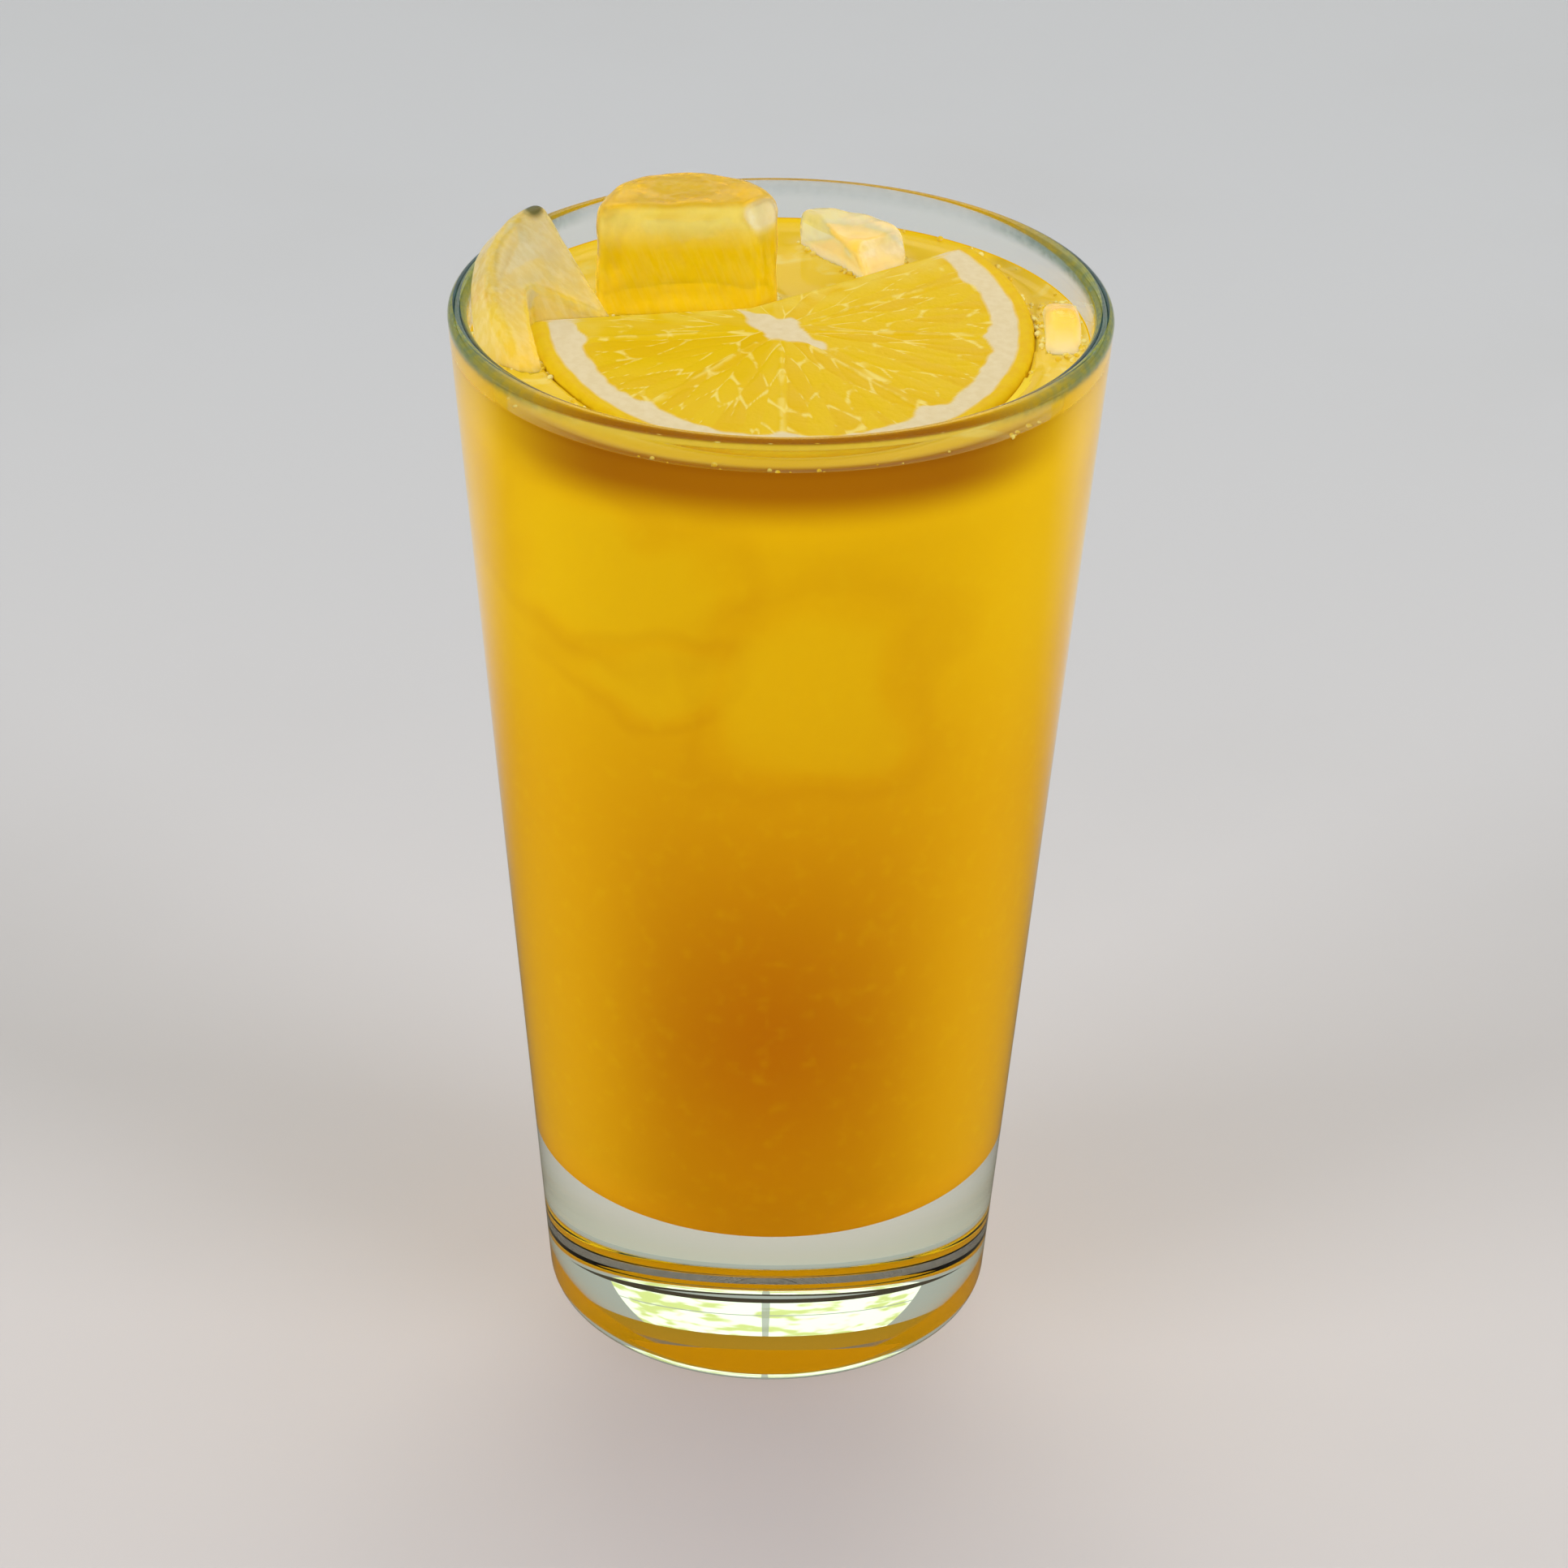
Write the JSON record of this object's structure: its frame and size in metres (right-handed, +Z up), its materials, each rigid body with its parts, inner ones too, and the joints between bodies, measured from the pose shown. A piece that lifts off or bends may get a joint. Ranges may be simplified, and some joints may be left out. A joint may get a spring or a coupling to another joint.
{
  "type": "glass of ginger lemonade",
  "caption": "Tall conical drinking glass with a heavy foot, filled with golden ginger lemonade, with half-moon ice and an orange slice floating at the brim.",
  "frame": {"origin": "middle of the foot, on the surface the glass stands on", "axes": "+Z up the glass's axis; -Y is the side that faced the viewer, +X to their right"},
  "size_m": [0.0878, 0.0878, 0.1611],
  "materials": {
    "glass": "clear pressed glass with a faint green tint at the rim",
    "lemonade": "cloudy golden yellow drink",
    "orange": "wet cut orange: yellow flesh, pale pith, thin rind",
    "ice": "clear wet ice"
  },
  "bodies": {
    "root": {"glass": "glass", "lemonade": "lemonade", "orange_slice": "orange", "ice_left": "ice", "ice_middle": "ice", "ice_back": "ice", "ice_right": "ice"}
  },
  "joints": []
}
